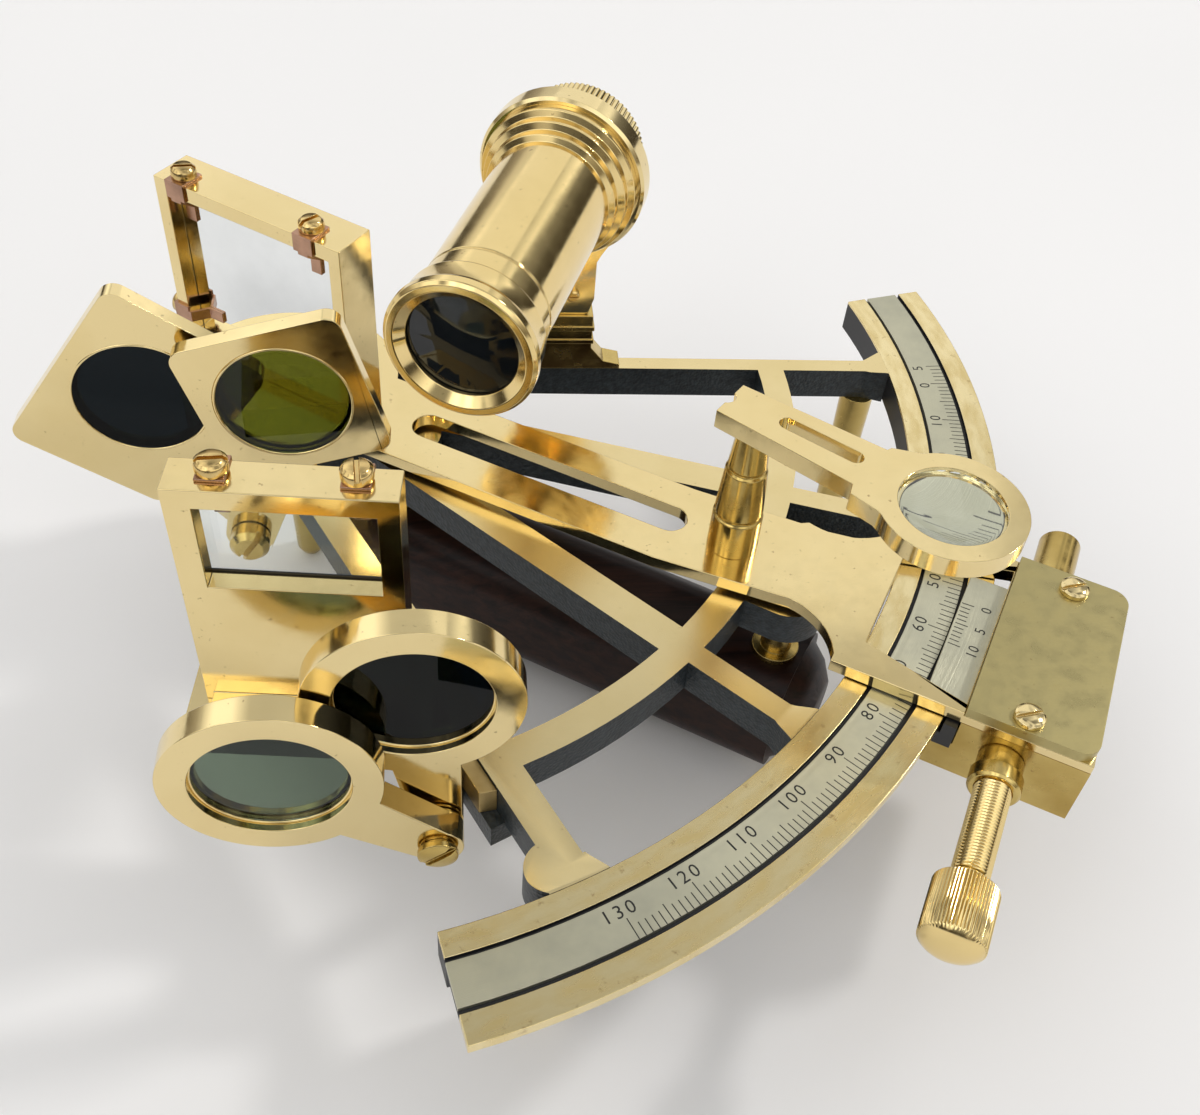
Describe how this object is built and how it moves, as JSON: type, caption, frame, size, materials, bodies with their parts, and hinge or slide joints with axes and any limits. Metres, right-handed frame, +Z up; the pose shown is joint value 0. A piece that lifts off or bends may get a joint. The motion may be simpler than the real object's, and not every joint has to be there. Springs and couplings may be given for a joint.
{
  "type": "sextant",
  "caption": "Brass marine sextant standing on three legs: graduated limb, swinging index arm with vernier, two mirrors, shades, telescope, magnifier and wooden grip.",
  "frame": {"origin": "on the index arm's pivot axis, at the level of the table the three legs stand on", "axes": "+Z up, along the pivot axis; +X horizontal, from the pivot towards the zero of the scale on the limb; +Y horizontal, so the scale runs from +X round to -Y"},
  "size_m": [0.2202, 0.1928, 0.1206],
  "materials": {
    "polished_brass": "polished",
    "aged_brass": "satin, slightly tarnished",
    "copper": "satin copper",
    "silver": "brushed, silvered",
    "black_paint": "blue-black crackle paint",
    "black_metal": "black, satin",
    "rosewood": "dark, waxed",
    "mirror_glass": "silvered glass",
    "clear_glass": "clear",
    "objective_glass": "clear, dark inside",
    "grey_green_glass": "tinted",
    "blue_black_glass": "deeply tinted",
    "olive_glass": "tinted",
    "dark_back": "matt, back of the silvering"
  },
  "bodies": {
    "frame": {"limb": "polished_brass", "scale_strip": "silver", "frame": "black_paint", "hub_leg": "aged_brass", "far_leg": "aged_brass", "near_leg": "aged_brass", "handle_grip": "rosewood", "handle_posts": "aged_brass", "handle_nuts": "aged_brass", "horizon_mirror_frame": "polished_brass", "horizon_glass": "clear_glass", "horizon_silvering": "dark_back", "horizon_clips": "copper", "horizon_clip_screws": "aged_brass", "horizon_base_screws": "aged_brass", "horizon_shade_stud": "aged_brass", "shade_stop_block": "aged_brass", "index_shade_bracket": "aged_brass", "index_shade_stud": "aged_brass", "telescope_socket": "aged_brass"},
    "index_arm": {"index_arm": "polished_brass", "vernier_plate": "silver", "pivot_pin": "aged_brass", "pivot_nut": "aged_brass", "index_mirror_frame": "polished_brass", "index_mirror_glass": "mirror_glass", "index_mirror_clips": "copper", "index_clip_screws": "aged_brass", "magnifier_post": "aged_brass", "tangent_block": "aged_brass", "cover_plate": "polished_brass", "cover_screws": "aged_brass", "screw_bush": "aged_brass", "end_sleeve": "aged_brass"},
    "magnifier": {"magnifier_arm": "polished_brass", "magnifier_lens": "clear_glass"},
    "tangent_screw": {"tangent_screw": "aged_brass"},
    "clamp_shoe": {"clamp_shoe": "black_metal"},
    "clamp_screw": {"clamp_screw": "aged_brass"},
    "left_shade": {"left_shade_plate": "polished_brass", "left_shade_glass": "blue_black_glass"},
    "right_shade": {"right_shade_plate": "polished_brass", "right_shade_glass": "olive_glass"},
    "front_shade": {"front_shade_ring": "polished_brass", "front_shade_glass": "grey_green_glass"},
    "rear_shade": {"rear_shade_ring": "polished_brass", "rear_shade_glass": "blue_black_glass"},
    "telescope": {"telescope_collar": "polished_brass", "stem_screw": "aged_brass", "telescope_tube": "polished_brass", "objective_cell": "polished_brass", "objective_lens": "objective_glass"},
    "eyepiece": {"draw_tube": "polished_brass", "eyepiece_ring": "polished_brass", "eyepiece_lens": "clear_glass"}
  },
  "joints": [
    {"name": "index_arm_swing", "type": "hinge", "parent": "frame", "child": "index_arm", "pos_m": [0, 0, 0.052], "axis": [0, 0, 1], "range_deg": [-32, 25]},
    {"name": "left_shade_swing", "type": "hinge", "parent": "frame", "child": "left_shade", "pos_m": [-0.0055, -0.0346, 0.0475], "axis": [0, 1, 0], "range_deg": [-115, 46]},
    {"name": "right_shade_swing", "type": "hinge", "parent": "frame", "child": "right_shade", "pos_m": [-0.0055, -0.04, 0.0475], "axis": [0, 1, 0], "range_deg": [-140, 14]},
    {"name": "front_shade_swing", "type": "hinge", "parent": "frame", "child": "front_shade", "pos_m": [0.0326, -0.1131, 0.0424], "axis": [0, 1, 0], "range_deg": [-60, 51]},
    {"name": "rear_shade_swing", "type": "hinge", "parent": "frame", "child": "rear_shade", "pos_m": [0.0326, -0.1073, 0.0424], "axis": [0, 1, 0], "range_deg": [-110, 0]},
    {"name": "telescope_rise", "type": "slide", "parent": "frame", "child": "telescope", "axis": [0, 0, 1], "range_m": [0, 0.008]},
    {"name": "eyepiece_focus", "type": "slide", "parent": "telescope", "child": "eyepiece", "axis": [0.3518, 0.9361, 0], "range_m": [0, 0.01]},
    {"name": "magnifier_swing", "type": "hinge", "parent": "index_arm", "child": "magnifier", "pos_m": [0.09272, -0.0544, 0.0872], "axis": [0, 0, 1], "range_deg": [-20, 75]},
    {"name": "tangent_screw_turn", "type": "hinge", "parent": "index_arm", "child": "tangent_screw", "pos_m": [0.13765, -0.10394, 0.0464], "axis": [-0.4756, -0.8796, 0], "range_deg": [-1440, 1440]},
    {"name": "clamp_shoe_travel", "type": "slide", "parent": "index_arm", "child": "clamp_shoe", "axis": [-0.4756, -0.8796, 0], "range_m": [-0.003, 0.003]},
    {"name": "clamp_screw_turn", "type": "hinge", "parent": "clamp_shoe", "child": "clamp_screw", "pos_m": [0.13386, -0.07854, 0.0375], "axis": [0, 0, -1], "range_deg": [-180, 180]}
  ],
  "couplings": [
    {"joint": "clamp_shoe_travel", "follows": "tangent_screw_turn", "m_per_rad": 0.00011141}
  ]
}
